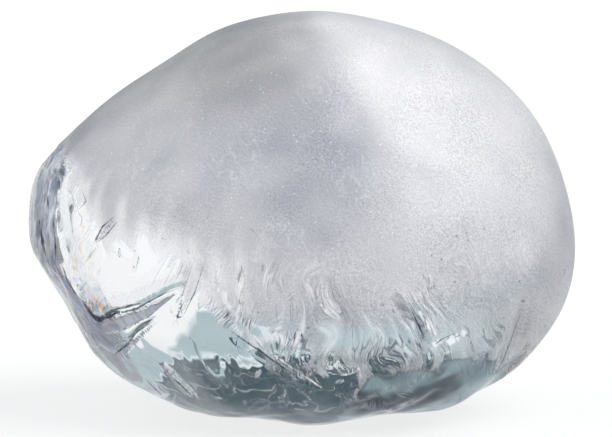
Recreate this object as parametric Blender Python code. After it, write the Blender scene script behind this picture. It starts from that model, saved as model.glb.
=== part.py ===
"""A hailstone: one lump of clear ice, melted to a smooth pebble about 60 mm long.

The stone is one solid with a pointed left end, a domed top and a flat spot that it lies on.
It starts as a cube sphere. Each of its points is moved out to the stone's outline, the melt
flats are planed off, and scallops, runnels and furrows are pressed in along the normals.
The origin is under the middle of the stone, at the height of the flat spot: +X is the blunt
end, -Y the front. Sizes are in millimetres until the last step, which writes the mesh in metres.
"""

import math

import bmesh
import bpy
import numpy as np
from mathutils import Vector

NAME = "hailstone"
METRES = 0.001

# The front view: radius every 15 degrees, anticlockwise from +X, measured from CORE.
OUTLINE = [
    30.1, 28.9, 27.6, 26.0, 24.5, 23.5, 23.1, 22.9, 22.9, 23.4, 25.4, 28.5,
    30.5, 28.0, 26.8, 25.5, 23.6, 21.9, 21.7, 22.2, 23.8, 27.0, 29.1, 30.5,
]
CORE = np.array([0.0, 0.4, 21.5])
HALF_DEPTH_FRONT = 25.0
HALF_DEPTH_BACK = 24.2
# Below 1, the sections across the stone are a little squarer than ellipses.
ROUNDNESS = 0.90
# How fast the outline's own shape gives way to a plain round towards front and back.
ROUNDING_OFF = 1.5

# Melt flats: azimuth and elevation that each one faces, in degrees, and how deep it is planed.
# Azimuth 0 faces the front, 90 the blunt end and -90 the pointed end.
MELT_FLATS = [
    (-68, 4, 1.3),
    (-50, -34, 1.1),
    (4, -46, 1.5),
    (52, -36, 1.0),
    (-46, 42, 0.8),
    (-9, 26, 0.8),
    (30, 27, 1.0),
    (112, 8, 0.9),
    (140, -38, 1.3),
    (152, 34, 1.0),
    (-97, 3, 0.2),
    (-142, 40, 0.8),
    (-128, -30, 0.5),
]
FLAT_SOFTNESS = 0.6

# Scallops: shallow bowls that the melt left on the lower flank, all the way round.
SCALLOPS = 30
SCALLOP_ELEVATION = (-50, -4)
SCALLOP_RADIUS = (3.4, 6.2)
SCALLOP_DEPTH = (0.2, 0.55)
SCALLOP_STEEPNESS = 1.5

# Runnels: channels in which meltwater ran down from the edge of the frosted cap, whose lower
# edge lies in a tilted plane.
RUNNELS = 15
RUNNEL_DROP = (18, 34)
RUNNEL_LEAN = (-8, 8)
RUNNEL_WIDTH = (0.8, 1.2)
RUNNEL_DEPTH = (0.3, 0.55)
RUNNEL_SKEW = 0.6
FROST_LINE_MIDDLE = 20.0
FROST_LINE_SLOPE = (-0.26, 0.5)

# Furrows of the lower front: width, depth, and the points that each one runs through: X, and
# height as it looks from SEEN_FROM degrees above level at the front.
SEEN_FROM = 8.0
FURROWS = [
    (0.7, 0.7, [(-8.2, 11.8), (-4.5, 7.5), (-2.0, 5.7), (1.7, 3.7)]),
    (0.7, 0.7, [(-22.7, 11.3), (-21.6, 10.8), (-19.8, 11.4), (-17.6, 12.1), (-12.6, 14.5)]),
    (0.6, 0.4, [(-20.2, 6.6), (-18.0, 9.0), (-15.2, 11.2)]),
    (0.5, 0.4, [(-15.2, 6.0), (-12.6, 3.4), (-11.0, 2.0)]),
    (0.8, 0.7, [(9.8, 13.2), (12.2, 10.2), (14.0, 7.6)]),
    (0.8, 0.6, [(2.6, 15.6), (4.4, 11.8), (4.8, 7.8)]),
    (0.8, 0.6, [(24.6, 13.2), (23.6, 9.0), (21.6, 5.4)]),
]
FURROW_FADE = 0.5

# The ball's grid: cuts along each side of the cube, and how far its points lean to the
# lower front, where the relief is finest.
CUTS = 27
FINER_SIDE = Vector((0, -0.22, -0.2))

# Clear ice, its face a little frosted. Ice bends light a little less than water's 1.33.
ICE_COLOUR = (0.80, 0.87, 0.89, 1.0)
ICE_ROUGHNESS = 0.25
ICE_IOR = 1.31


def toward(azimuth, elevation):
    """Unit vectors that face an azimuth and elevation in degrees."""
    a = np.radians(azimuth)
    e = np.radians(elevation)
    return np.stack([np.sin(a) * np.cos(e), -np.cos(a) * np.cos(e), np.sin(e)], axis=-1)


def outline_radius(angle):
    """Radius of the front view at each angle: the smooth wave sum through OUTLINE."""
    count = len(OUTLINE)
    strength = np.fft.rfft(OUTLINE) / count
    order = np.arange(len(strength))
    share = np.where((order == 0) | (2 * order == count), 1, 2)
    return (share * strength * np.exp(1j * np.outer(angle, order))).real.sum(axis=1)


def pebble(directions):
    """The stone before it melted: the front outline, drawn in to a point at front and back.

    A direction's angle in the front view gives the outline's radius. The nearer it is to
    straight ahead, the rounder that outline gets and the more it shrinks.
    """
    x, y, z = directions.T
    angle = np.arctan2(z, x)
    spread = np.sqrt(np.clip(1 - y * y, 0, 1))
    even = np.mean(OUTLINE)
    radius = even + (outline_radius(angle) - even) * spread**ROUNDING_OFF
    reach = radius * spread**ROUNDNESS
    depth = np.where(y < 0, HALF_DEPTH_FRONT, HALF_DEPTH_BACK) * y
    return CORE + np.stack([reach * np.cos(angle), depth, reach * np.sin(angle)], axis=1)


def plane_flats(points):
    """Pulls back what stands past each melt flat, with a soft rim."""
    for azimuth, elevation, depth in MELT_FLATS:
        normal = toward(azimuth, elevation)
        height = points @ normal
        past = (height - height.max() + depth) / FLAT_SOFTNESS
        points = points - FLAT_SOFTNESS * np.logaddexp(0, past)[:, None] * normal
    return points


def bell(away):
    """A bell curve: 1 in the middle, about a third at 1."""
    return np.exp(-(away**2))


def scallop_relief(points):
    """How far the scallops press the surface in: a round bowl each, by distance from its middle."""
    chance = np.random.default_rng(9)
    relief = np.zeros(len(points))
    for number in range(SCALLOPS):
        azimuth = 360 / SCALLOPS * (number + chance.uniform(-0.4, 0.4))
        elevation = chance.uniform(*SCALLOP_ELEVATION)
        middle = pebble(toward(azimuth, elevation)[None])[0]
        radius = chance.uniform(*SCALLOP_RADIUS) / math.sqrt(SCALLOP_STEEPNESS)
        away = np.linalg.norm(points - middle, axis=1) / radius
        relief += chance.uniform(*SCALLOP_DEPTH) * bell(away)
    return relief


def along_line(points, line):
    """Each point's distance from a line of straight runs, and its share of the way along it."""
    away = np.full(len(points), np.inf)
    share = np.zeros(len(points))
    lengths = np.linalg.norm(np.diff(line, axis=0), axis=1)
    for number, (start, end) in enumerate(zip(line, line[1:])):
        along = np.clip((points - start) @ (end - start) / lengths[number] ** 2, 0, 1)
        distance = np.linalg.norm(points - start - along[:, None] * (end - start), axis=1)
        gone = (lengths[:number].sum() + along * lengths[number]) / lengths.sum()
        share = np.where(distance < away, gone, share)
        away = np.minimum(distance, away)
    return away, share


def frost_line(x, y):
    """Height of the frosted cap's lower edge over a place on the floor: a tilted plane."""
    return FROST_LINE_MIDDLE + FROST_LINE_SLOPE[0] * x + FROST_LINE_SLOPE[1] * y


def runnel_relief(points):
    """How far the runnels press the surface in: deepest in the upper half, faded at both ends."""
    chance = np.random.default_rng(11)
    relief = np.zeros(len(points))
    for number in range(RUNNELS):
        azimuth = 360 / RUNNELS * (number + chance.uniform(-0.35, 0.35))
        guess = pebble(toward(azimuth, 0)[None])[0]
        rise = frost_line(guess[0], guess[1]) - CORE[2]
        top = math.degrees(math.asin(rise / HALF_DEPTH_FRONT))
        drop = chance.uniform(*RUNNEL_DROP)
        lean = chance.uniform(*RUNNEL_LEAN)
        ends = toward(np.array([azimuth, azimuth + lean]), np.array([top, top - drop]))
        away, share = along_line(points, pebble(ends))
        width = chance.uniform(*RUNNEL_WIDTH)
        depth = chance.uniform(*RUNNEL_DEPTH) * np.sin(math.pi * share**RUNNEL_SKEW)
        relief += depth * bell(away / width)
    return relief


def seen(points):
    """X, and height as it looks from SEEN_FROM degrees above level at the front."""
    tip = math.radians(SEEN_FROM)
    height = points[:, 2] * math.cos(tip) + points[:, 1] * math.sin(tip)
    return np.stack([points[:, 0], height], axis=1)


def furrow_relief(points):
    """How far the furrows press the lower front in, by distance from their lines as seen."""
    relief = np.zeros(len(points))
    for width, depth, line in FURROWS:
        away, share = along_line(seen(points), np.array(line))
        fade = np.sin(math.pi * share) ** FURROW_FADE
        relief += depth * fade * bell(away / width)
    return np.where(points[:, 1] < CORE[1], relief, 0)


def cube_sphere():
    """A cube divided into a grid on each side and blown up to a ball of nearly even squares."""
    mesh = bmesh.new()
    bmesh.ops.create_cube(mesh, size=2)
    bmesh.ops.subdivide_edges(mesh, edges=mesh.edges, cuts=CUTS, use_grid_fill=True)
    for vertex in mesh.verts:
        evened = Vector([math.tan(c * math.pi / 4) for c in vertex.co]).normalized()
        vertex.co = (evened + FINER_SIDE).normalized()
    return mesh


def place(mesh, points):
    for vertex, point in zip(mesh.verts, points):
        vertex.co = point


def carve(mesh):
    """Moves the ball's points to the stone's surface, then presses its relief in."""
    directions = np.array([vertex.co for vertex in mesh.verts])
    points = plane_flats(pebble(directions))
    place(mesh, points)
    mesh.normal_update()
    normals = np.array([vertex.normal for vertex in mesh.verts])
    relief = scallop_relief(points) + runnel_relief(points) + furrow_relief(points)
    place(mesh, points - relief[:, None] * normals)


def cut_rest_spot(mesh):
    """Cuts the underside off flat at height 0 and closes it with one face."""
    everything = mesh.verts[:] + mesh.edges[:] + mesh.faces[:]
    cut = bmesh.ops.bisect_plane(
        mesh, geom=everything, plane_co=(0, 0, 0), plane_no=(0, 0, -1), clear_outer=True
    )
    rim = [piece for piece in cut["geom_cut"] if isinstance(piece, bmesh.types.BMEdge)]
    bmesh.ops.edgeloop_fill(mesh, edges=rim)


def ice():
    material = bpy.data.materials.new("ice")
    material.use_nodes = True
    surface = material.node_tree.nodes["Principled BSDF"]
    surface.inputs["Base Color"].default_value = ICE_COLOUR
    surface.inputs["Roughness"].default_value = ICE_ROUGHNESS
    surface.inputs["IOR"].default_value = ICE_IOR
    surface.inputs["Transmission Weight"].default_value = 1.0
    return material


def build():
    for old in list(bpy.data.objects):
        bpy.data.objects.remove(old)
    mesh = cube_sphere()
    carve(mesh)
    cut_rest_spot(mesh)
    bmesh.ops.scale(mesh, vec=(METRES, METRES, METRES), verts=mesh.verts)
    bmesh.ops.recalc_face_normals(mesh, faces=mesh.faces)
    data = bpy.data.meshes.new(NAME)
    mesh.to_mesh(data)
    mesh.free()
    data.shade_smooth()
    data.materials.append(ice())
    stone = bpy.data.objects.new(NAME, data)
    group = bpy.data.collections.new(NAME)
    bpy.context.scene.collection.children.link(group)
    group.objects.link(stone)


build()
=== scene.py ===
import math

import bpy
import numpy as np
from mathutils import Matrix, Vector


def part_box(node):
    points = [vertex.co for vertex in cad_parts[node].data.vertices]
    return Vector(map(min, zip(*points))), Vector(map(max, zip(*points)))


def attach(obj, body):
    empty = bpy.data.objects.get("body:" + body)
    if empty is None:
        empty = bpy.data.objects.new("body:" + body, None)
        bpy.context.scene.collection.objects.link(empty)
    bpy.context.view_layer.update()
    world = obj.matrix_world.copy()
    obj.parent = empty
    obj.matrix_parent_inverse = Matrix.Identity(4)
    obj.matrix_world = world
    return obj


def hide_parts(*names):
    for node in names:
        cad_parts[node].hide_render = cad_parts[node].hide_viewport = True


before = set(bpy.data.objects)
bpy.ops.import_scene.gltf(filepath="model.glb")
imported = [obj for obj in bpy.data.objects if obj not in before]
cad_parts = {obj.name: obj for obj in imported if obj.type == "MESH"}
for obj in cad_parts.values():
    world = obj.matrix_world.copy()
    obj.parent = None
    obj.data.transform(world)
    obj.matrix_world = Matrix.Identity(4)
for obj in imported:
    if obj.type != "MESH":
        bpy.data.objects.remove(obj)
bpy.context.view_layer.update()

# --- The stone -------------------------------------------------------------------------------
# One lump of clear ice that grew in a storm cloud, fell, and melted to a smooth pebble.
# It is a ball drawn out to the outline of the stone, planed by broad melt flats, and then
# pressed in by scallops, runnels and furrows where the meltwater ran off its underside.

METRES = 0.001

# The front view: radius every 15 degrees, anticlockwise from +X, measured from CORE. In mm.
OUTLINE = [
    30.1, 28.9, 27.6, 26.0, 24.5, 23.5, 23.1, 22.9, 22.9, 23.4, 25.4, 28.5,
    30.5, 28.0, 26.8, 25.5, 23.6, 21.9, 21.7, 22.2, 23.8, 27.0, 29.1, 30.5,
]
CORE = np.array([0.0, 0.4, 21.5])
HALF_DEPTH_FRONT = 25.0
HALF_DEPTH_BACK = 24.2
# How fast the outline shrinks, and how fast it rounds off, towards the front and the back.
ROUNDNESS = 0.90
ROUNDING_OFF = 1.5

# Azimuth and elevation that each flat faces, and how deep it is planed.
MELT_FLATS = [
    (-68, 4, 1.3),
    (-50, -34, 1.1),
    (4, -46, 1.5),
    (52, -36, 1.0),
    (-46, 42, 0.8),
    (-9, 26, 0.8),
    (30, 27, 1.0),
    (112, 8, 0.9),
    (140, -38, 1.3),
    (152, 34, 1.0),
    (-97, 3, 0.2),
    (-142, 40, 0.8),
    (-128, -30, 0.5),
]
FLAT_SOFTNESS = 0.6

SCALLOPS = 30
SCALLOP_ELEVATION = (-50, -4)
SCALLOP_RADIUS = (3.4, 6.2)
SCALLOP_DEPTH = (0.2, 0.55)
SCALLOP_STEEPNESS = 1.5

RUNNELS = 15
RUNNEL_DROP = (18, 34)
RUNNEL_LEAN = (-8, 8)
RUNNEL_WIDTH = (0.8, 1.2)
RUNNEL_DEPTH = (0.3, 0.55)
RUNNEL_SKEW = 0.6
FROST_LINE_MIDDLE = 20.0
FROST_LINE_SLOPE = (-0.26, 0.5)

# Width, depth, and the points that each furrow runs through: X, and height as it looks from
# SEEN_FROM degrees above level at the front.
SEEN_FROM = 8.0
FURROWS = [
    (0.7, 0.7, [(-8.2, 11.8), (-4.5, 7.5), (-2.0, 5.7), (1.7, 3.7)]),
    (0.7, 0.7, [(-22.7, 11.3), (-21.6, 10.8), (-19.8, 11.4), (-17.6, 12.1), (-12.6, 14.5)]),
    (0.6, 0.4, [(-20.2, 6.6), (-18.0, 9.0), (-15.2, 11.2)]),
    (0.5, 0.4, [(-15.2, 6.0), (-12.6, 3.4), (-11.0, 2.0)]),
    (0.8, 0.7, [(9.8, 13.2), (12.2, 10.2), (14.0, 7.6)]),
    (0.8, 0.6, [(2.6, 15.6), (4.4, 11.8), (4.8, 7.8)]),
    (0.8, 0.6, [(24.6, 13.2), (23.6, 9.0), (21.6, 5.4)]),
]
FURROW_FADE = 0.5
FURROW_SHARPNESS = 0.6

# The ball's squares are smallest towards the lower front, where the relief is finest.
CUTS = 124
FINER_SIDE = np.array([0, -0.22, -0.2])


def toward(azimuth, elevation):
    """Unit vectors that face an azimuth (0 front, 90 blunt end) and elevation, in degrees."""
    a = np.radians(azimuth)
    e = np.radians(elevation)
    return np.stack([np.sin(a) * np.cos(e), -np.cos(a) * np.cos(e), np.sin(e)], axis=-1)


def unit(vectors):
    """Each vector divided by its length."""
    return vectors / np.linalg.norm(vectors, axis=-1, keepdims=True)


def ball(cuts, lean):
    """A closed ball of squares: directions, and the four corners of each square.

    Six square grids in two parameters stand on the sides of a cube. Their lines are spaced by
    the tangent, which evens the squares out once each point is divided by its length. Adding
    `lean` and dividing again draws the squares together on that side.
    """
    step = np.tan(np.linspace(-1, 1, cuts + 1) * math.pi / 4)
    u, v = (side.ravel() for side in np.meshgrid(step, step, indexing="ij"))
    one = np.ones_like(u)
    sides = [(one, u, v), (-one, v, u), (v, one, u), (u, -one, v), (u, v, one), (v, u, -one)]
    directions = unit(np.concatenate([np.stack(side, axis=1) for side in sides]))
    row = cuts + 1
    corner = np.arange(cuts * row).reshape(cuts, row)[:, :-1].ravel()
    square = np.stack([corner, corner + row, corner + row + 1, corner + 1], axis=1)
    squares = np.concatenate([square + number * row**2 for number in range(len(sides))])
    _, kept, same = np.unique(
        np.round(directions, 6), axis=0, return_index=True, return_inverse=True
    )
    return unit(directions[kept] + lean), same.reshape(-1)[squares]


def outline_radius(angle):
    """Radius of the front view at each angle: the smooth wave sum through OUTLINE."""
    count = len(OUTLINE)
    strength = np.fft.rfft(OUTLINE) / count
    order = np.arange(len(strength))
    share = np.where((order == 0) | (2 * order == count), 1, 2)
    return (share * strength * np.exp(1j * np.outer(angle, order))).real.sum(axis=1)


def pebble(directions):
    """The stone before it melted: the front outline, drawn in to a point at front and back.

    A direction's angle in the front view gives the outline's radius. The nearer it is to
    straight ahead, the rounder that outline gets and the more it shrinks.
    """
    x, y, z = directions.T
    angle = np.arctan2(z, x)
    spread = np.sqrt(np.clip(1 - y * y, 0, 1))
    even = np.mean(OUTLINE)
    radius = even + (outline_radius(angle) - even) * spread**ROUNDING_OFF
    reach = radius * spread**ROUNDNESS
    depth = np.where(y < 0, HALF_DEPTH_FRONT, HALF_DEPTH_BACK) * y
    return CORE + np.stack([reach * np.cos(angle), depth, reach * np.sin(angle)], axis=1)


def plane_flats(points):
    """Pulls back what stands past each melt flat, with a soft rim."""
    for azimuth, elevation, depth in MELT_FLATS:
        normal = toward(azimuth, elevation)
        height = points @ normal
        past = (height - height.max() + depth) / FLAT_SOFTNESS
        points = points - FLAT_SOFTNESS * np.logaddexp(0, past)[:, None] * normal
    return points


def bell(away):
    """A bell curve: 1 in the middle, about a third at 1."""
    return np.exp(-(away**2))


def scallop_relief(points):
    """How far the scallops press the surface in: a bell curve of the distance from each middle."""
    chance = np.random.default_rng(9)
    relief = np.zeros(len(points))
    for number in range(SCALLOPS):
        azimuth = 360 / SCALLOPS * (number + chance.uniform(-0.4, 0.4))
        elevation = chance.uniform(*SCALLOP_ELEVATION)
        middle = pebble(toward(azimuth, elevation)[None])[0]
        radius = chance.uniform(*SCALLOP_RADIUS) / math.sqrt(SCALLOP_STEEPNESS)
        away = np.linalg.norm(points - middle, axis=1) / radius
        relief += chance.uniform(*SCALLOP_DEPTH) * bell(away)
    return relief


def along_line(points, line):
    """Each point's distance from a line of straight runs, and its share of the way along it."""
    away = np.full(len(points), np.inf)
    share = np.zeros(len(points))
    lengths = np.linalg.norm(np.diff(line, axis=0), axis=1)
    for number, (start, end) in enumerate(zip(line, line[1:])):
        along = np.clip((points - start) @ (end - start) / lengths[number] ** 2, 0, 1)
        distance = np.linalg.norm(points - start - along[:, None] * (end - start), axis=1)
        gone = (lengths[:number].sum() + along * lengths[number]) / lengths.sum()
        share = np.where(distance < away, gone, share)
        away = np.minimum(distance, away)
    return away, share


def frost_line(x, y):
    """Height of the frosted cap's lower edge over a place on the floor: a tilted plane."""
    return FROST_LINE_MIDDLE + FROST_LINE_SLOPE[0] * x + FROST_LINE_SLOPE[1] * y


def runnel_relief(points):
    """How far the runnels press the surface in: deepest in the upper half, faded at both ends."""
    chance = np.random.default_rng(11)
    relief = np.zeros(len(points))
    for number in range(RUNNELS):
        azimuth = 360 / RUNNELS * (number + chance.uniform(-0.35, 0.35))
        guess = pebble(toward(azimuth, 0)[None])[0]
        rise = frost_line(guess[0], guess[1]) - CORE[2]
        top = math.degrees(math.asin(rise / HALF_DEPTH_FRONT))
        drop = chance.uniform(*RUNNEL_DROP)
        lean = chance.uniform(*RUNNEL_LEAN)
        ends = toward(np.array([azimuth, azimuth + lean]), np.array([top, top - drop]))
        away, share = along_line(points, pebble(ends))
        width = chance.uniform(*RUNNEL_WIDTH)
        depth = chance.uniform(*RUNNEL_DEPTH) * np.sin(math.pi * share**RUNNEL_SKEW)
        relief += depth * bell(away / width)
    return relief


def seen(points):
    """X, and height as it looks from SEEN_FROM degrees above level at the front."""
    tip = math.radians(SEEN_FROM)
    height = points[:, 2] * math.cos(tip) + points[:, 1] * math.sin(tip)
    return np.stack([points[:, 0], height], axis=1)


def furrow_relief(points, furrows):
    """How far the furrows press the front in, by distance from their lines as seen."""
    relief = np.zeros(len(points))
    for width, depth, line in furrows:
        away, share = along_line(seen(points), np.array(line))
        fade = np.sin(math.pi * share) ** FURROW_FADE
        relief += depth * fade * bell(away / width)
    return np.where(points[:, 1] < CORE[1], relief, 0)


def normals_of(points, squares):
    """Outward unit normals: the crossed diagonals of the squares round each point, added up."""
    a, b, c, d = (points[squares[:, corner]] for corner in range(4))
    across = np.cross(c - a, d - b)
    total = np.zeros_like(points)
    for corner in range(4):
        np.add.at(total, squares[:, corner], across)
    return unit(total)


directions, squares = ball(CUTS, FINER_SIDE)
stone = plane_flats(pebble(directions))
sharp = [(FURROW_SHARPNESS * width, depth, line) for width, depth, line in FURROWS]
relief = scallop_relief(stone) + runnel_relief(stone) + furrow_relief(stone, sharp)
stone = stone - relief[:, None] * normals_of(stone, squares)

# Finer melt marks, too small for the solid: streaks where the frost's edge melts away, swells
# that bend what is seen through the clear ice, and fine upright ridges round the pointed end.

# Width, depth and line of each streak, as for the furrows.
STREAKS = [
    (0.32, 0.34, [(-19.6, 22.2), (-21.2, 20.8), (-22.4, 19.3), (-23.3, 17.3)]),
    (0.25, 0.20, [(-21.3, 18.9), (-21.8, 15.8)]),
    (0.25, 0.25, [(-17.2, 18.6), (-17.5, 15.8)]),
    (0.28, 0.12, [(-13.7, 18.4), (-16.5, 14.3)]),
    (0.28, 0.12, [(-12.6, 17.8), (-14.6, 14.2)]),
    (0.50, 0.55, [(-11.4, 17.6), (-12.4, 14.0), (-13.4, 11.2)]),
    (0.28, 0.25, [(-8.8, 15.0), (-8.2, 11.2)]),
    (0.30, 0.30, [(-5.2, 14.6), (-4.6, 10.6)]),
    (0.30, 0.30, [(-0.4, 14.6), (0.4, 10.2)]),
    (0.28, 0.28, [(1.2, 13.2), (1.6, 9.6)]),
    (0.26, 0.30, [(3.2, 15.4), (4.0, 13.4), (5.2, 12.0), (6.2, 8.2)]),
    (0.26, 0.30, [(4.4, 15.2), (5.2, 13.2), (6.2, 12.0)]),
    (0.28, 0.28, [(8.6, 11.0), (9.7, 8.0)]),
    (0.30, 0.34, [(9.6, 12.0), (11.8, 7.4)]),
    (0.30, 0.34, [(11.8, 12.6), (13.6, 7.8)]),
    (0.28, 0.26, [(20.6, 8.4), (20.2, 5.6)]),
    (0.28, 0.26, [(22.2, 9.0), (21.4, 5.2)]),
    (0.34, 0.30, [(25.2, 14.0), (24.2, 9.0), (22.4, 4.6)]),
    (0.60, 0.20, [(9.5, 27.4), (13.0, 26.3), (16.8, 26.2)]),
]


def waves(points, length, seed, stretch=(1, 1, 1), count=40):
    """Smooth noise from about -1 to 1: the mean of plane waves of random heading and phase.

    Each is about `length` long. `stretch` makes the pattern that many times longer on X, Y and Z.
    """
    chance = np.random.default_rng(seed)
    heading = unit(chance.normal(size=(count, 3)))
    heading *= 2 * math.pi / length * chance.uniform(0.6, 1.5, (count, 1)) / np.array(stretch)
    phase = chance.uniform(0, 2 * math.pi, count)
    return np.sin(points @ heading.T + phase).sum(axis=1) / math.sqrt(count / 2)


def smooth(value, low, high):
    """0 below `low`, 1 above `high`, and an S-curve between."""
    share = np.clip((value - low) / (high - low), 0, 1)
    return share * share * (3 - 2 * share)


# The frost's edge on the front: X, and height as seen. Round the back it is MELTED_BACK above
# the frost line.
FROST_EDGE = [
    (-27.0, 30.0), (-25.0, 26.5), (-22.3, 21.8), (-18.4, 18.6), (-14.3, 17.6), (-11.6, 15.9),
    (-9.8, 13.8), (-6.6, 13.0), (-5.2, 9.4), (0.0, 8.2), (5.0, 6.8), (8.0, 6.0), (12.0, 6.6),
    (14.0, 8.2), (16.0, 9.6), (19.0, 8.8), (23.0, 7.4), (26.0, 5.0), (29.0, 1.0),
]
# Fingers of frost that reach down past it: width, how far over the edge, and their lines.
FINGERS = [
    (0.60, 2.6, [(-10.6, 16.6), (-11.8, 13.4), (-13.0, 11.4)]),
    (0.28, 1.8, [(-13.4, 17.6), (-15.3, 14.8)]),
    (0.28, 1.8, [(-12.4, 17.0), (-14.2, 14.6)]),
    (0.28, 1.8, [(-16.9, 18.4), (-17.2, 16.4)]),
    (0.40, 2.4, [(-9.0, 14.2), (-8.4, 11.0)]),
    (0.45, 2.4, [(-7.4, 13.6), (-7.0, 10.2)]),
]
MELTED_BACK = 3.0
# How sharply the frost ends towards the pointed end and the blunt end; 1 is the middle.
CRISP_END = (1.9, 0.5)


def stroke(points, width, line):
    """1 along a line as seen from the front, falling off to its sides by a bell curve."""
    return bell(along_line(seen(points), np.array(line))[0] / width)


def frost_height(points):
    """Height over the frost's edge in mm, made ragged by tongues that hang down the flank.

    It goes over from the front's edge to the back's by an S-curve in Y. It is drawn out or
    flattened towards either end, so that the frost ends sharply at the point and softly at the
    blunt end.
    """
    x, y, z = points.T
    front = seen(points)[:, 1] - np.interp(x, *np.transpose(FROST_EDGE))
    back = z - frost_line(x, y) - MELTED_BACK
    for width, rise, line in FINGERS:
        front += rise * stroke(points, width, line)
    over = front + (back - front) * smooth(y, -4, 8)
    tongues = 0.8 * waves(points, 2.5, 11, stretch=(1, 1, 4)) + 0.9 * waves(points, 8, 12)
    crisp = CRISP_END[0] + (1 - CRISP_END[0]) * smooth(x, -14, -6)
    return (over + tongues) * (crisp + (CRISP_END[1] - 1) * smooth(x, 12, 18))


# The rim: the pointed end and the flank below it, dim with painted shade along the outline as seen
# from the front, bluer at the point, and lined. Its inner edge: X, and height as seen.
RIM_EDGE = [
    (-15.5, 1.5), (-16.5, 3.7), (-18.7, 6.2), (-20.0, 8.4), (-22.0, 10.7), (-23.7, 12.7),
    (-24.8, 14.3), (-26.1, 16.7), (-26.5, 19.4), (-26.3, 22.7), (-25.7, 26.5), (-25.9, 29.8),
]
# Spurs that run from it along the two left furrows: width at the start, and their lines.
RIM_SPURS = [
    (1.1, [(-22.6, 9.8), (-19.6, 10.4), (-16.5, 11.6), (-13.2, 13.8)]),
    (0.4, [(-19.8, 6.8), (-18.0, 8.4), (-15.6, 10.6)]),
]


def rim_share(points):
    """1 on the rim, 0 inside its edge, with a soft step between, and tapering along its spurs."""
    place = seen(points)
    edge = np.interp(place[:, 1], *np.transpose(RIM_EDGE)[::-1])
    share = 1 - smooth(place[:, 0] - edge + 0.25 * waves(points, 2.2, 46), -0.5, 0.5)
    for width, line in RIM_SPURS:
        away, along = along_line(place, np.array(line))
        spur = 0.9 * bell((away / (width * (1.05 - along))) ** 2)
        share = np.maximum(share, np.where(points[:, 1] < 0, spur, 0))
    return share


def rim_fade(points):
    """What is left of the rim, 1 to 0, by S-curves in height and in Y.

    It fades out low down and towards the back.
    """
    height = seen(points)[:, 1] + 0.6 * waves(points, 3, 52)
    behind = points[:, 1] + 1.2 * waves(points, 4, 51)
    return smooth(height, 5.5, 9) * (1 - smooth(behind, -7, 3))


SWELL_DEPTHS = (0.07, 0.025)
RIDGE_DEPTH = 0.10

above_frost = frost_height(stone)
clear = 1 - smooth(above_frost, -1, 3)
swells = SWELL_DEPTHS[0] * waves(stone, 9, 21) + SWELL_DEPTHS[1] * waves(stone, 3.2, 22)
faded = rim_fade(stone)
rim = rim_share(stone) * faded
ridges = RIDGE_DEPTH * waves(stone, 1.3, 23, stretch=(1, 1, 6))
ridges = ridges * rim * smooth(stone[:, 2], 14, 19)
fine = furrow_relief(stone, STREAKS) + swells * clear + ridges
stone = stone - fine[:, None] * normals_of(stone, squares)

# It rests on a small flat spot: what would be below the floor is pressed up to it, with a soft
# rim. Nothing stands past the solid's own box.
REST_SOFTNESS = 0.06
stone[:, 2] = REST_SOFTNESS * np.logaddexp(0, stone[:, 2] / REST_SOFTNESS)
low, high = (np.array(corner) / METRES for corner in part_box("hailstone"))
stone = np.clip(stone, low, high)

# Air in the ice: small bubbles, many of them drawn out upright, and thin cracks. Each is a ball
# of squares turned inside out, so the ice ends at its wall.

BUBBLES = 160
BUBBLE_SIZE = (0.06, 0.17)
BUBBLE_TALLNESS = (1, 3.5)
BUBBLE_DEPTH = (0.3, 3.0)
# Bubbles lie near the frost's edge, where they can be seen, and not where the stone rests.
BUBBLE_REACH = 5
BUBBLE_LOWEST = 3
BUBBLE_CUTS = 2
CRACK_CUTS = 9
CRACK_GAP = 0.10
CRACK_BEND = 0.25
# Each crack's middle, the direction that it faces, and its long and short radius.
CRACKS = [
    ((-3.0, -15.5, 8.7), (0.75, -0.25, 0.75), 6.0, 1.2),
    ((-13.5, -13.0, 7.0), (0.65, -0.3, 0.8), 3.4, 1.4),
    ((-9.5, -10.0, 10.0), (0.8, -0.2, 0.5), 2.4, 1.0),
    ((12.5, -15.0, 10.0), (0.85, -0.3, 0.4), 2.2, 0.9),
    ((4.0, 6.0, 12.0), (0.3, 0.6, 0.75), 4.0, 2.0),
    ((14.0, 9.0, 9.0), (-0.5, 0.6, 0.6), 3.0, 1.6),
]


def void(middle, facing, radii, bend, cuts):
    """An inside-out ball, with the last of its `radii` along `facing`.

    It is bent that way by `bend` mm times a sine wave along it and a cosine wave across it.
    """
    rays, sides = ball(cuts, 0)
    out = unit(np.array(facing, float))
    along = unit(np.cross(out, (0.3, 1.0, 0.2)))
    axes = np.stack([along, np.cross(out, along), out])
    local = rays * radii
    local[:, 2] += bend * np.sin(1.1 * local[:, 0] + 0.6) * np.cos(1.4 * local[:, 1])
    return np.array(middle) + local @ axes, sides[:, ::-1]


shells = [(stone, squares)]
chance = np.random.default_rng(31)
inward = -normals_of(stone, squares)
near_edge = np.abs(above_frost + 1) < BUBBLE_REACH
places = np.flatnonzero(near_edge & (stone[:, 2] > BUBBLE_LOWEST))
for _ in range(BUBBLES):
    start = chance.choice(places)
    middle = stone[start] + inward[start] * chance.uniform(*BUBBLE_DEPTH)
    size = chance.uniform(*BUBBLE_SIZE)
    radii = size * np.array([1, 1, chance.uniform(*BUBBLE_TALLNESS)])
    shells.append(void(middle, (0, 0, 1), radii, 0, BUBBLE_CUTS))
for middle, facing, long, short in CRACKS:
    radii = (long, short, CRACK_GAP / 2)
    shells.append(void(middle, facing, radii, CRACK_BEND, CRACK_CUTS))

starts = np.cumsum([0] + [len(points) for points, _ in shells])
corners = np.concatenate([points for points, _ in shells])
faces = np.concatenate([sides + start for (_, sides), start in zip(shells, starts)])

mesh = bpy.data.meshes.new("hailstone_ice")
mesh.from_pydata(corners * METRES, [], faces.tolist())
mesh.shade_smooth()
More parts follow.
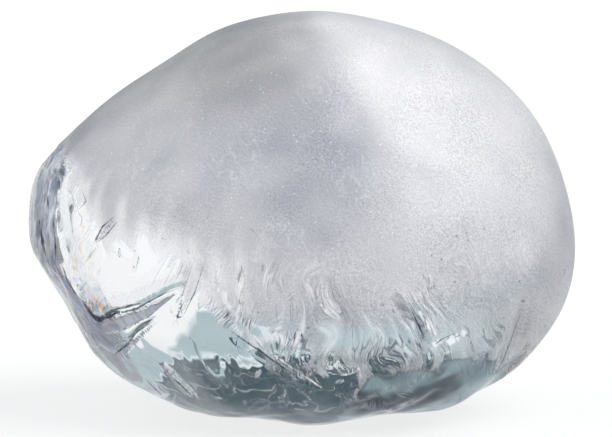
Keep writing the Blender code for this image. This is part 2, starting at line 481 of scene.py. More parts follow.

# How milky the frosted ice is, with painted light and shade: milk all over, less in a dim band of
# painted shade, more in a pale patch to its right that is a painted highlight over milkier frost,
# low down at the blunt end, where the frost thins out over the pointed end and painted light from
# the lower left falls, and in drifts behind.
MILK = 0.30
BAND_PAINTED_SHADE = 0.25
BAND_X = 3.5
BAND_BEND = 28.6
BAND_LEAN = 0.8
BAND_WIDTHS = (12.0, 5.0)
PATCH_PALE_AND_HIGHLIGHT = 0.56
PATCH_X = (1.4, 10.5)
PATCH_TOP = 43.0
PATCH_LEAN = 0.65
LOW_PALE = 0.24
EDGE_PALE_AND_LIGHT = 0.40
BEHIND_PALE = 0.4


def milk_and_painted_light(points):
    """How milky the ice is under its skin, 0 to 1.

    A bell curve across the dim band of painted shade, whose middle is at BAND_X up to BAND_BEND
    and leans to the left above it. An S-curve into the pale patch, a painted highlight over milkier
    frost, whose edge leans alongside from one PATCH_X at its top to the other; the patch fades as
    it goes down, and at the blunt end's outline. Where the frost thins out on the left it is paler,
    by painted light from the lower left.
    """
    y = points[:, 1]
    x, z = seen(points).T
    front = 1 - smooth(y, 2, 12)
    off = x - np.minimum(BAND_X, BAND_X - BAND_LEAN * (z - BAND_BEND))
    dim_band_shade = bell(off / np.where(off < 0, *BAND_WIDTHS)) * smooth(z, 13, 27)
    edge = np.minimum(PATCH_X[1], PATCH_X[0] + PATCH_LEAN * (PATCH_TOP - z))
    edge = edge + 0.4 * waves(points, 7, 43)
    pale_patch_highlight = smooth(x - edge, -2.6, 2.6) * (0.85 + 0.15 * smooth(x, 10, 20)) * smooth(z, 14, 46)
    pale_patch_highlight = pale_patch_highlight * (1 - 0.5 * smooth(x, 24, 29))
    thin = (1 - smooth(frost_height(points), 0, 12)) * (1 - smooth(x, -10, 2))
    drifts = 0.02 * waves(points, 18, 41) + 0.03 * waves(points, 6, 42)
    low_right = LOW_PALE * smooth(x, 7, 16) * (1 - smooth(z, 10, 17))
    behind = (1 - front) * BEHIND_PALE * smooth(waves(points, 26, 44), -0.1, 0.9)
    # Painted light in the frost's tone: a highlight in the pale patch, shade in the dim band, and
    # light from the lower left where the frost thins.
    shape = front * (PATCH_PALE_AND_HIGHLIGHT * pale_patch_highlight - BAND_PAINTED_SHADE * dim_band_shade + EDGE_PALE_AND_LIGHT * thin)
    return np.clip(MILK + drifts + low_right + shape + behind, 0, 1)


def graininess(points):
    """How strongly the frost is grained: faint at the top left, strong at the lower right."""
    x, z = seen(points).T
    strength = 0.5 + 0.5 * smooth(x - 0.8 * z, -42, 8) + 0.25 * waves(points, 9, 45)
    return np.clip(strength, 0.2, 1.5)


def on_stone(values, elsewhere=0.0):
    """The stone's values, followed by one value for all the bubbles and cracks."""
    return np.concatenate([values, np.full(len(corners) - len(stone), elsewhere)])


# Seams of painted shade: dark lines along furrows and cracks and on the edges of small chips,
# where shade falls. Half width at the start and at the end, and the line as seen.
SHADE_SEAMS = [
    (0.20, 0.34, [(-23.5, 12.8), (-22.7, 11.4), (-22.0, 10.8), (-20.8, 11.2), (-19.4, 11.8)]),
    (0.20, 0.03, [(-19.9, 11.5), (-17.6, 12.1), (-14.5, 13.8), (-12.8, 14.4)]),
    (0.14, 0.06, [(-20.2, 7.0), (-18.6, 8.3), (-17.8, 9.4), (-15.6, 10.9)]),
    (0.05, 0.14, [(-19.9, 22.0), (-21.2, 20.9), (-22.1, 19.2)]),
    (0.08, 0.05, [(-19.6, 21.4), (-20.8, 20.0), (-22.0, 19.0)]),
    (0.05, 0.03, [(-21.8, 18.8), (-23.2, 17.0)]),
    (0.05, 0.03, [(-17.2, 17.8), (-17.6, 16.2)]),
    (0.03, 0.02, [(-14.2, 17.6), (-15.4, 15.6), (-15.9, 14.6)]),
    (0.03, 0.02, [(-13.2, 17.2), (-14.6, 14.6)]),
    (0.04, 0.02, [(-12.4, 17.0), (-13.4, 15.0)]),
    (0.05, 0.10, [(-12.4, 13.0), (-13.2, 11.2), (-12.6, 11.3)]),
    (0.16, 0.06, [(-7.6, 9.2), (-6.9, 8.2), (-6.7, 9.0)]),
    (0.10, 0.04, [(-7.4, 9.8), (-4.4, 7.7), (-1.4, 5.5), (1.4, 3.6)]),
    (0.10, 0.06, [(-0.7, 8.9), (-0.5, 9.8)]),
    (0.08, 0.05, [(-1.5, 9.2), (-1.3, 9.9)]),
    (0.03, 0.06, [(-25.4, 25.2), (-24.6, 24.4), (-24.3, 23.2)]),
    (0.05, 0.03, [(-24.2, 25.0), (-25.0, 23.4), (-24.8, 22.6)]),
    (0.04, 0.06, [(-23.4, 24.6), (-23.0, 23.6), (-23.8, 22.8)]),
    (0.03, 0.05, [(-24.0, 22.6), (-23.4, 21.8), (-23.6, 21.0)]),
    (0.04, 0.07, [(-10.2, 17.0), (-11.2, 14.0), (-12.5, 11.4)]),
    (0.03, 0.06, [(-11.5, 16.8), (-12.6, 13.6), (-13.1, 11.8)]),
    (0.04, 0.03, [(-5.4, 20.8), (-4.8, 20.3)]),
    (0.01, 0.00, [(10.6, 26.3), (12.6, 26.0), (15.8, 26.4)]),
    (0.05, 0.03, [(-1.5, 13.4), (-0.7, 14.0)]),
    (0.05, 0.03, [(-1.3, 13.0), (-0.5, 13.5)]),
    (0.10, 0.06, [(0.1, 9.6), (0.3, 8.8)]),
    (0.05, 0.03, [(2.4, 11.1), (3.2, 11.2)]),
    (0.03, 0.02, [(-2.6, 12.8), (-2.4, 10.4)]),
    (0.03, 0.02, [(-1.1, 13.2), (-1.0, 10.6)]),
    (0.03, 0.02, [(-0.4, 12.6), (-0.3, 11.0)]),
    (0.04, 0.02, [(3.2, 14.8), (3.6, 13.3), (4.4, 12.2), (5.1, 10.2)]),
    (0.03, 0.02, [(4.1, 14.9), (4.6, 13.4), (5.3, 12.4)]),
    (0.03, 0.03, [(5.6, 11.2), (5.5, 8.3)]),
    (0.05, 0.10, [(-15.0, 5.9), (-13.4, 4.3), (-11.8, 2.7)]),
    (0.05, 0.09, [(-16.9, 4.5), (-15.9, 3.4), (-15.0, 2.5)]),
    (0.05, 0.12, [(11.6, 12.6), (12.6, 10.4), (13.2, 9.2)]),
    (0.07, 0.05, [(14.4, 8.3), (15.2, 8.9), (16.6, 9.5)]),
    (0.04, 0.06, [(15.4, 8.5), (16.0, 9.1)]),
    (0.03, 0.05, [(16.4, 9.0), (17.2, 9.3)]),
    (0.03, 0.07, [(23.9, 11.8), (23.0, 9.0), (22.1, 6.4), (21.2, 4.8)]),
    (0.03, 0.06, [(21.6, 7.6), (20.8, 4.8)]),
    (0.02, 0.05, [(20.2, 7.6), (19.6, 5.6)]),
    (0.12, 0.20, [(-28.5, 21.8), (-28.2, 19.8), (-27.7, 17.6)]),
    (0.05, 0.10, [(-27.6, 24.8), (-27.3, 22.8)]),
    (0.10, 0.05, [(-26.8, 21.6), (-26.5, 19.0), (-26.6, 17.0), (-26.0, 15.4)]),
    (0.08, 0.16, [(-25.8, 16.8), (-25.2, 15.0), (-24.2, 13.4)]),
    (0.04, 0.08, [(-26.2, 26.6), (-26.0, 24.8)]),
]
# How far from its line a seam's half width starts to shrink, and where it is nothing.
SHADE_SEAM_REACH = (0.7, 1.0)
# What stands for no seam near, in mm.
FAR = 9.0

# The blunt end's foot, smooth teal darkened by painted shade low down. Its upper edge, as seen.
FOOT_EDGE = [
    (3.6, -0.5), (5.4, 1.8), (7.0, 3.7), (9.0, 4.7), (12.0, 5.4),
    (14.5, 5.9), (17.0, 6.3), (20.0, 6.4), (22.5, 5.2), (25.0, 2.0),
]
# The wedge of deeper painted shade in it: width, and its line.
FOOT_SHADE_WEDGE = (1.35, [(4.8, 2.6), (7.0, 2.2), (9.0, 1.6), (12.6, 2.2), (16.2, 3.9)])


def foot_share(points):
    """1 on the blunt end's foot, below its edge, with a soft step between."""
    x, height = seen(points).T
    edge = np.interp(x, *np.transpose(FOOT_EDGE), left=-9)
    return 1 - smooth(height - edge + 0.5 * waves(points, 3, 47), -0.8, 0.8)


def shade_wedge_share(points):
    """1 in the foot's wedge of painted shade: a flat-topped bell curve of the distance from its
    line.
    """
    width, line = FOOT_SHADE_WEDGE
    away = along_line(seen(points), np.array(line))[0] + 0.15 * waves(points, 2, 53)
    return np.where(points[:, 1] < 0, bell((away / width) ** 2), 0)


# Pale teal washes in the belt under the frost's edge: width, how strong, and their lines.
WASHES = [
    (1.5, 0.6, [(-11.5, 9.8), (-5.0, 9.6), (-1.5, 9.6)]),
    (1.7, 0.9, [(3.6, 9.0), (6.0, 8.8), (9.5, 8.8), (14.0, 8.4), (17.0, 7.7), (21.0, 7.5)]),
    (1.1, 0.8, [(-19.8, 7.0), (-18.0, 5.0), (-15.0, 3.0)]),
]


def wash_share(points):
    """How strongly a pale wash covers the front: the greatest of their strokes."""
    strokes = [most * stroke(points, width, line) for width, most, line in WASHES]
    return np.where(points[:, 1] < 0, np.max(strokes, axis=0), 0)


def shade_seam_sides(points):
    """Distance from the nearest seam, negative on its right side, and its half width there.

    The half width goes from the seam's first to its second, times a low power of a half sine
    wave that runs it out at both ends, and is nothing past SHADE_SEAM_REACH.
    """
    nearest = np.full(len(points), np.inf)
    side = np.full(len(points), FAR)
    half_width = np.zeros(len(points))
    place = seen(points)
    for first, second, line in SHADE_SEAMS:
        line = np.array(line)
        away, along = along_line(place, line)
        steps = np.linalg.norm(np.diff(line, axis=0), axis=1)
        part = np.searchsorted(np.cumsum(steps)[:-1] / steps.sum(), along)
        run = line[part + 1] - line[part]
        off = place - line[part]
        left = np.sign(run[:, 0] * off[:, 1] - run[:, 1] * off[:, 0])
        here = (first + (second - first) * along) * np.sin(math.pi * along) ** 0.4
        closer = (away < nearest) & (points[:, 1] < CORE[1])
        side = np.where(closer, left * away, side)
        half_width = np.where(closer, here * (1 - smooth(away, *SHADE_SEAM_REACH)), half_width)
        nearest = np.where(closer, away, nearest)
    return side, half_width


def painted_fringe_share(points):
    """Where colour fringes of light split by the ice are painted on its front, 0 to 1.

    Bell curves round the long seam's foot, and along the rim's inner edge above it.
    """
    x, z = seen(points).T
    foot = bell(np.hypot(x + 22.6, z - 11.6) / 2.2)
    brow = bell((x + 24.4 - 0.25 * (z - 16)) / 0.8) * smooth(z, 10, 13) * (1 - smooth(z, 20, 24))
    return np.maximum(foot, 0.45 * brow) * (1 - smooth(points[:, 1], -7, -3))


def wetness(points):
    """Where melting frost is rippled: S-curves into a belt round its edge and out of it again.

    It is calmer in the clean wedge at the left, in drifts, towards the blunt end, and above the
    edge on the left.
    """
    rise = frost_height(points)
    x = points[:, 0]
    calm = np.maximum(0.9 * (1 - smooth(x, -13, -8)), 0.35 * smooth(waves(points, 9, 50), 0.2, 1.0))
    calm = np.maximum(calm, 0.8 * smooth(x, 12, 17))
    calm = np.maximum(calm, 0.85 * smooth(rise, 1, 5) * (1 - smooth(x, -6, -2)))
    return smooth(rise, -5, -1) * (1 - smooth(rise, 2, 10)) * (1 - calm)


def fullness(points):
    """How fully the frost covers, 0 to 1.

    It thins out by a straight ramp over the wedge at the left, and elsewhere only at its edge.
    """
    rise = frost_height(points)
    thin = 0.35 + 0.65 * np.clip((rise + 4) / 11, 0, 1)
    return thin + (0.75 + 0.25 * smooth(rise, -1, 3) - thin) * smooth(points[:, 0], -9, -5)


# Painted glints: white flecks in the wet belt, beside the seams of painted shade and along the rim:
# width, and their lines.
GLINT_FLECKS = [
    (1.3, [(-5.2, 8.7), (-3.0, 9.3), (-0.6, 8.9)]),
    (0.6, [(-5.4, 10.6), (-3.8, 10.0), (-2.2, 10.2)]),
    (0.45, [(-8.6, 14.2), (-7.8, 12.6), (-6.6, 11.0)]),
    (0.5, [(11.4, 12.2), (12.0, 10.2)]),
    (0.5, [(12.8, 11.8), (14.4, 9.6)]),
    (0.65, [(14.4, 8.4), (16.2, 8.8), (17.4, 9.4)]),
    (0.35, [(2.2, 12.6), (2.8, 11.6)]),
    (2.0, [(-23.6, 15.8), (-22.2, 13.4), (-21.4, 12.6)]),
    (1.0, [
        (-23.0, 13.4), (-21.4, 12.4), (-19.4, 12.9), (-17.0, 13.8), (-14.2, 15.1), (-12.8, 15.6),
    ]),
    (1.3, [(-25.8, 24.0), (-25.4, 21.0), (-24.8, 18.0), (-24.2, 15.6)]),
    (0.5, [(-6.6, 10.2), (-6.0, 9.2)]),
    (0.3, [(-14.7, 6.2), (-13.0, 4.5), (-11.3, 2.8)]),
    (0.26, [(-7.0, 10.0), (-4.0, 8.0), (-1.0, 5.9)]),
    (0.17, [(-1.0, 5.9), (0.4, 4.9), (2.6, 3.4)]),
]


def glint_fleck_share(points):
    """1 in the middle of a white fleck of painted glint on the front: the greatest of their
    strokes.
    """
    strokes = [stroke(points, width, line) for width, line in GLINT_FLECKS]
    return np.where(points[:, 1] < CORE[1], np.max(strokes, axis=0), 0)


# Frost and ripples run down the flanks and fan out. Patterns read a place that changes little
# down a run, and so they are drawn out along it.
FLOW_RADIUS = 26.0
FAN = 0.06
FAN_HEIGHT = 12.0
FAN_REACH = (-12, 8)
RUN_LENGTH = 4.5


def flow(points):
    """Azimuth as a place on a circle, and Z divided by RUN_LENGTH.

    Low down the azimuth is turned in to the front, by up to FAN a mm, so that a line along which
    it stays the same fans out.
    """
    x, y, z = points.T
    azimuth = np.arctan2(x, -y) + 0.025 * waves(points, 6, 48)
    azimuth = azimuth + FAN * np.clip(z - FAN_HEIGHT, *FAN_REACH) * np.sin(azimuth)
    across, forward = FLOW_RADIUS * np.sin(azimuth), FLOW_RADIUS * np.cos(azimuth)
    return np.stack([across, -forward, z / RUN_LENGTH], axis=1)


def rim_way(points):
    """X from the rim's inner edge, and Y and height shortened: its lines follow that edge."""
    x, height = seen(points).T
    inner = np.interp(height, *np.transpose(RIM_EDGE)[::-1])
    bent = x - inner + 0.35 * waves(points, 3.5, 49)
    return np.stack([bent, points[:, 1] / 2.5, height / 5], axis=1)


# Every mark is kept on the mesh's points, where the material reads it. The walls of bubbles and
# cracks count as clear ice, far below the frost's edge.
CLEAR_RISE = -20
rim_fringe = 0.2 * rim * smooth(stone[:, 2], 14, 18)
warm = smooth(stone[:, 2], 33, 41) * (1 - smooth(stone[:, 0], -6, 6))
side, half_width = shade_seam_sides(stone)
MARKS = {
    "rise": on_stone(frost_height(stone), CLEAR_RISE),
    "cloud_and_painted_light": on_stone(milk_and_painted_light(stone)),
    "grain": on_stone(graininess(stone)),
    "rim": on_stone(rim_share(stone)),
    "rim_fade": on_stone(faded),
    "tip": on_stone(smooth(seen(stone)[:, 1], 16, 22)),
    "wet": on_stone(wetness(stone)),
    "full": on_stone(fullness(stone)),
    "glint_fleck": on_stone(glint_fleck_share(stone)),
    "low": on_stone(1 - smooth(stone[:, 2], 9, 13)),
    "foot": on_stone(foot_share(stone)),
    "shade_wedge": on_stone(shade_wedge_share(stone)),
    "wash": on_stone(wash_share(stone)),
    "warm": on_stone(warm),
    "painted_fringe": on_stone(np.maximum(rim_fringe, painted_fringe_share(stone))),
    "shade_seam_side": on_stone(side, FAR),
    "shade_seam_width": on_stone(half_width),
}
for name, values in MARKS.items():
    mesh.attributes.new(name, "FLOAT", "POINT").data.foreach_set("value", values)
for name, ways in (("flow", flow(corners)), ("rim_way", rim_way(corners))):
    layer = mesh.attributes.new(name, "FLOAT_VECTOR", "POINT")
    layer.data.foreach_set("vector", (ways * METRES).ravel())


class Tree:
    """Short ways to add nodes to one node tree and link them. A socket or a number will do."""

    def __init__(self, tree):
        self.nodes = tree.nodes
        self.link = tree.links.new

    def put(self, value, socket):
        """A number, a colour or another node's output, into a socket."""
        if isinstance(value, (int, float)):
            socket.default_value = value
        elif isinstance(value, tuple):
            socket.default_value = (*value, 1)[: len(socket.default_value)]
        else:
            self.link(value, socket)

    def math(self, operation, first, second=0.0):
        node = self.nodes.new("ShaderNodeMath")
        node.operation = operation
        self.put(first, node.inputs[0])
        self.put(second, node.inputs[1])
        return node.outputs["Value"]

    def plus(self, first, second):
        return self.math("ADD", first, second)

    def minus(self, first, second):
        return self.math("SUBTRACT", first, second)

    def times(self, first, second):
        return self.math("MULTIPLY", first, second)

    def most(self, first, *others):
        """The greatest of them."""
        for other in others:
            first = self.math("MAXIMUM", first, other)
        return first

    def spread(self, value, low, high, bare, full, kind="LINEAR"):
        """Maps `value` from low..high to bare..full, and holds it there beyond."""
        node = self.nodes.new("ShaderNodeMapRange")
        node.interpolation_type = kind
        for socket, number in zip(node.inputs, (value, low, high, bare, full)):
            self.put(number, socket)
        return node.outputs["Result"]

    def mix(self, share, first, second, blend="MIX"):
        """Between two colours."""
        node = self.nodes.new("ShaderNodeMix")
        node.data_type = "RGBA"
        node.blend_type = blend
        self.put(share, node.inputs["Factor"])
        colours = [socket for socket in node.inputs if socket.type == "RGBA"]
        self.put(first, colours[0])
        self.put(second, colours[1])
        return next(socket for socket in node.outputs if socket.type == "RGBA")

    def scaled(self, colour, factor):
        """A colour times a number."""
        node = self.nodes.new("ShaderNodeVectorMath")
        node.operation = "SCALE"
        self.put(colour, node.inputs["Vector"])
        self.put(factor, node.inputs["Scale"])
        return node.outputs["Vector"]

    def attribute(self, name, output="Fac"):
        """What the mesh's points say about a mark."""
        node = self.nodes.new("ShaderNodeAttribute")
        node.attribute_name = name
        return node.outputs[output]

    def noise(self, place, scale, detail):
        """Noise of that many lumps a metre."""
        node = self.nodes.new("ShaderNodeTexNoise")
        node.inputs["Scale"].default_value = scale
        node.inputs["Detail"].default_value = detail
        self.link(place, node.inputs["Vector"])
        return node.outputs["Fac"]

    def near(self, value, middle, width):
        """1 where the value is `middle`, down to 0 at `width` to either side."""
        off = self.math("ABSOLUTE", self.minus(value, middle))
        return self.spread(off, 0, width, 1, 0)


# The ice's colours. Milk under the frost goes from dim to pale: the dim end is in painted shade and
# the pale end is a painted highlight. The next ones lie in it or on it: painted glints, pits in
# painted shade, wisps, warmth, washes, white runs with painted highlights, and painted shade in the
# grooves and seams.
MILK_DIM_SHADE = (0.250, 0.249, 0.292)
MILK_PALE_HIGHLIGHT = (0.955, 0.905, 0.93)
SPARKLE_GLINT = (1.0, 1.0, 1.0)
PIT_SHADE = (0.10, 0.10, 0.14)
WISP = (0.95, 0.95, 0.98)
WARMTH = (1.0, 0.98, 0.90)
WASH = (0.76, 0.87, 0.91)
WHITE_RUN_AND_HIGHLIGHT = (0.97, 0.96, 0.98)
GROOVE_SHADE = (0.09, 0.09, 0.13)
SEAM_SHADE = (0.015, 0.018, 0.05)
# What covers the ice far below the frost's edge and just below it, then the clear ice itself,
# away from the rim and on it.
BELOW = ((0.60, 0.73, 0.77), (0.93, 0.94, 0.95))
CLEAR = ((0.95, 0.935, 0.94), (0.70, 0.75, 0.84))
# The rim's flank and its point, both dimmed by painted shade, and the pale and the dark lines on
# the point.
FLANK_SHADE = ((0.18, 0.185, 0.24), (0.31, 0.315, 0.39))
POINT = ((0.17, 0.20, 0.27), (0.42, 0.48, 0.56))
POINT_LINES = ((0.90, 0.91, 0.92), (0.03, 0.035, 0.06))
# The foot in painted shade, its darker wedge of painted shade, and the painted colours that light
# splits into.
FOOT_TEAL_SHADE = ((0.12, 0.175, 0.205), (0.23, 0.31, 0.34))
WEDGE_SHADE = (0.03, 0.042, 0.06)
BLUE = (0.10, 0.20, 0.62)
AMBER = (0.72, 0.40, 0.17)
# How strongly it bends light, and the colour and the rate at which it swallows light.
ICE_BENDING = 1.31
ICE_TINT = (0.45, 0.85, 0.9)
ICE_DENSITY = 2


def ice():
    """Ice: clear below, satin and milky above the frost's edge, streaked and rippled between."""
    material = bpy.data.materials.new("ice")
    material.use_nodes = True
    tree = Tree(material.node_tree)
    surface = tree.nodes["Principled BSDF"]
    surface.inputs["IOR"].default_value = ICE_BENDING
    place = tree.nodes.new("ShaderNodeTexCoord").outputs["Object"]
    way = tree.attribute("flow", "Vector")
    rim_way = tree.attribute("rim_way", "Vector")
    rise = tree.attribute("rise")
    wet = tree.attribute("wet")

    # The rim, ragged at its inner edge.
    ragged = tree.spread(tree.noise(place, 900, 3), 0.3, 0.7, -0.3, 0.3)
    rim = tree.spread(tree.plus(tree.attribute("rim"), ragged), 0.3, 0.7, 0, 1)
    rim = tree.times(rim, tree.attribute("rim_fade"))

    # How frosted, 0 to 1: streaked at its edge.
    streaks = tree.spread(tree.noise(way, 800, 4), 0.28, 0.72, -2.4, 5.0)
    frost = tree.spread(tree.plus(rise, streaks), -0.5, 0.5, 0, 1, "SMOOTHSTEP")
    frost = tree.times(frost, tree.attribute("full"))
    tree.link(tree.spread(frost, 0, 1, 0.0, 0.33), surface.inputs["Roughness"])

    # What else covers the clear ice: veins, cloudlets and scratches low down, white runs that are
    # partly painted glints, white flecks of painted glint, the foot in painted shade, the rim and
    # the washes.
    # Some of them hide what is behind as well.
    veins = tree.times(tree.near(tree.noise(place, 210, 3), 0.5, 0.022), 0.45)
    cloudlets = tree.spread(tree.noise(place, 130, 4), 0.45, 0.66, 0, 0.55)
    scratches = tree.spread(tree.noise(way, 2600, 0), 0.70, 0.78, 0, 0.35)
    low = tree.times(tree.spread(rise, -9, -4, 1, 0), tree.attribute("low"))
    veins = tree.times(tree.most(veins, cloudlets, scratches), low)
    # White runs in the wet belt, part frost and part painted glints, joined by the flecks of
    # painted glint.
    runs_and_glints = tree.times(tree.spread(tree.noise(way, 520, 3), 0.60, 0.68, 0, 0.7), wet)
    glint_flecks = tree.plus(tree.noise(way, 1500, 3), tree.times(tree.attribute("glint_fleck"), 0.5))
    runs_and_glints = tree.most(runs_and_glints, tree.spread(glint_flecks, 0.82, 0.95, 0, 0.95))
    foot = tree.spread(tree.noise(way, 700, 2), 0.35, 0.6, 0.85, 1.0)
    foot = tree.times(tree.attribute("foot"), foot)
    wash = tree.spread(tree.noise(way, 800, 3), 0.35, 0.62, 0.35, 1.0)
    wash = tree.times(tree.attribute("wash"), wash)
    cover = tree.most(frost, tree.times(rim, 0.85), foot, veins, runs_and_glints, tree.times(wash, 0.6))
    hidden = tree.most(tree.times(rim, 0.25), tree.times(foot, 0.6), tree.times(runs_and_glints, 0.3))
    clear = tree.minus(tree.spread(cover, 0, 1, 1.0, 0.55), hidden)
    tree.link(clear, surface.inputs["Transmission Weight"])

    # Milk: finely grained, with painted sparkles of glinting light, pits in painted shade and
    # wisps, warmer at the top left, and with the washes and the white runs and painted glints where
    # it thins out below the frost's edge.
    # The milk's tone, with painted shade in the dim band and a painted highlight in the pale patch.
    milk = tree.mix(tree.attribute("cloud_and_painted_light"), MILK_DIM_SHADE, MILK_PALE_HIGHLIGHT)
    grains = tree.spread(tree.noise(place, 6000, 1), 0.2, 0.8, -1.0, 1.0)
    grains = tree.times(grains, tree.attribute("grain"))
    milk = tree.scaled(milk, tree.spread(grains, -1, 1, 0.65, 1.35))
    # Painted glints: tiny white sparkles in the milk.
    painted_sparkles = tree.spread(tree.noise(place, 5200, 0), 0.78, 0.86, 0, 0.7)
    milk = tree.mix(painted_sparkles, milk, SPARKLE_GLINT)
    # Painted shade in small pits: near-black dots where the grain is strong.
    shaded_pits = tree.spread(tree.noise(place, 1900, 0), 0.78, 0.83, 0, 0.8)
    shaded_pits = tree.times(shaded_pits, tree.spread(tree.attribute("grain"), 0.7, 1.0, 0, 1))
    shaded_pits = tree.times(shaded_pits, tree.spread(rise, 6, 9, 1, 0))
    milk = tree.mix(shaded_pits, milk, PIT_SHADE)
    gathered = tree.spread(tree.noise(place, 160, 1), 0.46, 0.62, 0, 0.16)
    wisps = tree.times(tree.near(tree.noise(place, 480, 4), 0.5, 0.03), gathered)
    milk = tree.mix(wisps, milk, WISP)
    milk = tree.mix(tree.attribute("warm"), milk, WARMTH, blend="MULTIPLY")
    below = tree.mix(tree.spread(rise, -8, -4, 0, 1), *BELOW)
    milk = tree.mix(tree.spread(rise, -4, 0, 0.9, 0), milk, below)
    milk = tree.mix(wash, milk, WASH)
    milk = tree.mix(runs_and_glints, milk, WHITE_RUN_AND_HIGHLIGHT)

    # The rim: blue-grey lines at the point over bluer ice in painted shade, and lavender in painted
    # shade on the flank.
    hair = tree.noise(rim_way, 1500, 4)
    shaded_flank = tree.mix(tree.spread(hair, 0.40, 0.62, 0, 1), *FLANK_SHADE)
    blots = tree.noise(place, 330, 2)
    shaded_point = tree.mix(tree.spread(blots, 0.38, 0.60, 0, 1), *POINT)
    hair = tree.plus(hair, tree.spread(blots, 0.3, 0.7, -0.08, 0.08))
    shaded_point = tree.mix(tree.spread(hair, 0.55, 0.62, 0, 0.9), shaded_point, POINT_LINES[0])
    shaded_point = tree.mix(tree.spread(hair, 0.46, 0.41, 0, 0.9), shaded_point, POINT_LINES[1])
    milk = tree.mix(rim, milk, tree.mix(tree.attribute("tip"), shaded_flank, shaded_point))
    colour = tree.mix(cover, tree.mix(rim, *CLEAR), milk)

    # The teal foot in painted shade with its darker wedge of painted shade, and painted blue and
    # amber fringes of split light.
    shaded_teal = tree.mix(tree.spread(tree.noise(place, 120, 1), 0.44, 0.56, 0, 1), *FOOT_TEAL_SHADE)
    shaded_teal = tree.mix(tree.times(tree.attribute("shade_wedge"), 0.93), shaded_teal, WEDGE_SHADE)
    colour = tree.mix(tree.spread(foot, 0, 0.35, 0, 1), colour, shaded_teal)
    hues = tree.noise(rim_way, 2300, 2)
    painted_fringe = tree.attribute("painted_fringe")
    blue = tree.times(tree.spread(hues, 0.46, 0.38, 0, 0.8), painted_fringe)
    amber = tree.times(tree.spread(hues, 0.54, 0.62, 0, 1), painted_fringe)
    colour = tree.mix(amber, tree.mix(blue, colour, BLUE), AMBER)

    # Curls engraved in the wet frost, in groups: painted shade in the groove with a painted
    # highlight beside it, and spots of painted shade and of painted glint.
    groups = tree.spread(tree.noise(place, 190, 1), 0.40, 0.50, 0, 0.95)
    groups = tree.times(tree.times(wet, groups), tree.spread(tree.attribute("foot"), 0, 1, 1, 0.2))
    curl = tree.noise(way, 640, 3)
    whorl = tree.noise(way, 1150, 1)
    spots = tree.noise(way, 2300, 1)
    shaded_pit_spots = tree.spread(spots, 0.38, 0.31, 0, 1)
    glint_spots = tree.spread(spots, 0.62, 0.69, 0, 1)
    groove_and_shade = tree.most(tree.near(curl, 0.50, 0.028), tree.near(whorl, 0.50, 0.03), shaded_pit_spots)
    beside_highlight = tree.most(tree.near(curl, 0.55, 0.022), tree.near(whorl, 0.56, 0.024), glint_spots)
    groove_and_shade = tree.times(groove_and_shade, groups)
    # Painted shade in the grooves and dark spots, then the painted highlight beside them and the
    # white spots.
    colour = tree.mix(groove_and_shade, colour, GROOVE_SHADE)
    colour = tree.mix(tree.times(beside_highlight, groups), colour, WHITE_RUN_AND_HIGHLIGHT)

    # The seams of painted shade, with torn edges.
    torn = tree.spread(tree.noise(place, 1500, 3), 0.3, 0.7, -0.5, 0.5)
    width = tree.attribute("shade_seam_width")
    within = tree.minus(width, tree.math("ABSOLUTE", tree.attribute("shade_seam_side")))
    within = tree.plus(within, tree.times(width, torn))
    colour = tree.mix(tree.spread(within, -0.03, 0.05, 0, 1), colour, SEAM_SHADE)
    tree.link(colour, surface.inputs["Base Color"])

    # Heights in mm: the frost's grain, the wet belt's ripples, rim lines and long swells.
    grain = tree.times(tree.noise(place, 3400, 3), tree.spread(frost, 0, 1, 0, 0.16))
    ripples = tree.times(tree.noise(way, 750, 2), tree.times(wet, 0.35))
    ripples = tree.minus(ripples, tree.times(groove_and_shade, 0.06))
    lining = tree.times(tree.noise(rim_way, 1300, 2), tree.times(rim, 0.25))
    swell = tree.times(tree.noise(place, 170, 2), tree.spread(rise, -1, 6, 0.22, 0))
    swell = tree.times(swell, tree.spread(tree.attribute("foot"), 0, 1, 1, 0.3))
    relief = tree.plus(grain, tree.plus(ripples, tree.plus(swell, lining)))
    bump = tree.nodes.new("ShaderNodeBump")
    bump.inputs["Distance"].default_value = METRES
    tree.link(relief, bump.inputs["Height"])
    tree.link(bump.outputs["Normal"], surface.inputs["Normal"])

    inside = tree.nodes.new("ShaderNodeVolumeAbsorption")
    inside.inputs["Color"].default_value = (*ICE_TINT, 1)
    inside.inputs["Density"].default_value = ICE_DENSITY
    tree.link(inside.outputs["Volume"], tree.nodes["Material Output"].inputs["Volume"])
    return material


mesh.materials.append(ice())
hailstone = bpy.data.objects.new("hailstone_ice", mesh)
bpy.context.scene.collection.objects.link(hailstone)
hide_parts("hailstone")
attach(hailstone, "root")

# --- The floor, the light and the camera -------------------------------------------------------
# A plain pale sheet that glows a little, as paper lit from above does, so that the ice stands on
# an even ground. A room in soft bands, for the clear ice to bend, and two broad lamps. The camera
# is far off at the front, a little above level.

FLOOR_SIZE = 6.0
FLOOR_GREY = (0.18, 0.18, 0.18, 1)
FLOOR_GLOW = 0.77

floor_mesh = bpy.data.meshes.new("floor")
half = FLOOR_SIZE / 2
floor_mesh.from_pydata(
    [(-half, -half, 0), (half, -half, 0), (half, half, 0), (-half, half, 0)], [], [(0, 1, 2, 3)]
)
paper = bpy.data.materials.new("pale_floor")
paper.use_nodes = True
sheet = paper.node_tree.nodes["Principled BSDF"]
sheet.inputs["Base Color"].default_value = FLOOR_GREY
sheet.inputs["Roughness"].default_value = 1.0
sheet.inputs["Emission Color"].default_value = (1, 1, 1, 1)
sheet.inputs["Emission Strength"].default_value = FLOOR_GLOW
floor_mesh.materials.append(paper)
floor = bpy.data.objects.new("floor", floor_mesh)
bpy.context.scene.collection.objects.link(floor)

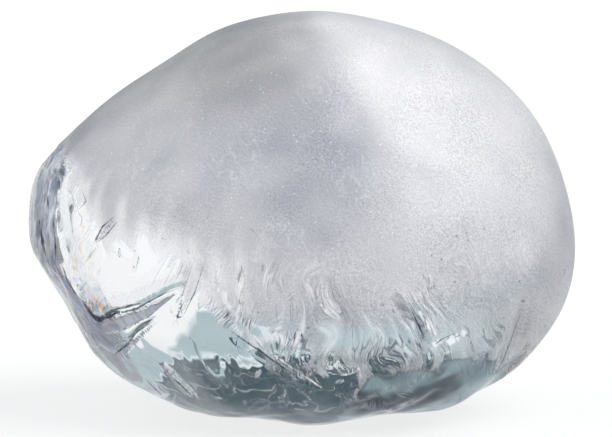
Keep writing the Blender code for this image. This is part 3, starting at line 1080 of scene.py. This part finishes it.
# The room by the sine of elevation: white low down, a pale band, then dark overhead. A narrow
# strip light runs round at the top of the pale band, and fainter ones higher up.
WHITE = (1, 1, 1)
PALE = (0.44, 0.55, 0.575)
DARK = (0.036, 0.074, 0.095)
SIDE = (0.22, 0.29, 0.32)
STRIP = (0.95, 1.0, 1.0)
PALE_FROM = (0.04, 0.07)
DARK_FROM = (0.245, 0.260)
# Middle and half width of each strip, and how bright.
STRIPS = [(0.238, 0.012, 0.8), (0.315, 0.008, 0.25), (0.42, 0.012, 0.3)]
# A white screen stands on the +X side, its near edge leaning out, up to this sine.
SCREEN_EDGE = (0.15, 0.18)
SCREEN_LEAN = 0.6
SCREEN_TOP = (0.24, 0.26)
# The pale band climbs past this X, and the dark is greyer past this -X.
CLIMB_FROM = 0.30
CLIMB = 1.8
SIDE_FROM = (0.35, 0.55)


def studio():
    """Room light: straight ramps from band to band, by the sine of elevation.

    The strips and the screen are laid over them.
    """
    world = bpy.data.worlds.new("studio")
    world.use_nodes = True
    bpy.context.scene.world = world
    tree = Tree(world.node_tree)
    split = tree.nodes.new("ShaderNodeSeparateXYZ")
    place = tree.nodes.new("ShaderNodeTexCoord")
    tree.link(place.outputs["Generated"], split.inputs["Vector"])
    across, up = split.outputs["X"], split.outputs["Z"]
    climb = tree.times(tree.most(tree.minus(across, CLIMB_FROM), 0), CLIMB)
    height = tree.minus(up, climb)
    dark = tree.mix(tree.spread(tree.times(across, -1), *SIDE_FROM, 0, 1), DARK, SIDE)
    room = tree.mix(tree.spread(up, *PALE_FROM, 0, 1), WHITE, PALE)
    room = tree.mix(tree.spread(height, *DARK_FROM, 0, 1), room, dark)
    for middle, half_width, bright in STRIPS:
        off = tree.math("ABSOLUTE", tree.minus(height, middle))
        room = tree.mix(tree.spread(off, half_width, 0, 0, bright), room, STRIP)
    past = tree.minus(across, tree.times(up, SCREEN_LEAN))
    screen = tree.times(
        tree.spread(past, *SCREEN_EDGE, 0, 1), tree.spread(up, *SCREEN_TOP, 1, 0)
    )
    tree.link(tree.mix(screen, room, WHITE), tree.nodes["Background"].inputs["Color"])


studio()


def softbox(name, azimuth, elevation, spread, strength):
    """A broad far lamp that faces the stone: its direction and its width in degrees."""
    light = bpy.data.lights.new(name, "SUN")
    light.angle = math.radians(spread)
    light.energy = strength
    lamp = bpy.data.objects.new(name, light)
    lamp.rotation_euler = Vector(toward(azimuth, elevation)).to_track_quat("Z", "Y").to_euler()
    lamp.visible_transmission = False
    bpy.context.scene.collection.objects.link(lamp)


softbox("softbox_right", 62, 50, 55, 3.2)
softbox("softbox_left", -70, 62, 50, 1.0)

# What the camera looks at, in metres, from how many degrees above level, how far off, and the
# width that it sees there.
LOOK_AT = Vector((0.0006, 0, 0.022))
CAMERA_RISE = 8.0
CAMERA_DISTANCE = 0.7
SENSOR = 36.0
VIEW_WIDTH = 0.0671

back = Vector(toward(0.0, CAMERA_RISE))
camera_data = bpy.data.cameras.new("camera")
camera_data.sensor_width = SENSOR
camera_data.lens = SENSOR * CAMERA_DISTANCE / VIEW_WIDTH
camera = bpy.data.objects.new("camera", camera_data)
camera.location = LOOK_AT + back * CAMERA_DISTANCE
camera.rotation_euler = (-back).to_track_quat("-Z", "Y").to_euler()
bpy.context.scene.collection.objects.link(camera)
bpy.context.scene.camera = camera
bpy.context.scene.view_settings.view_transform = "Standard"
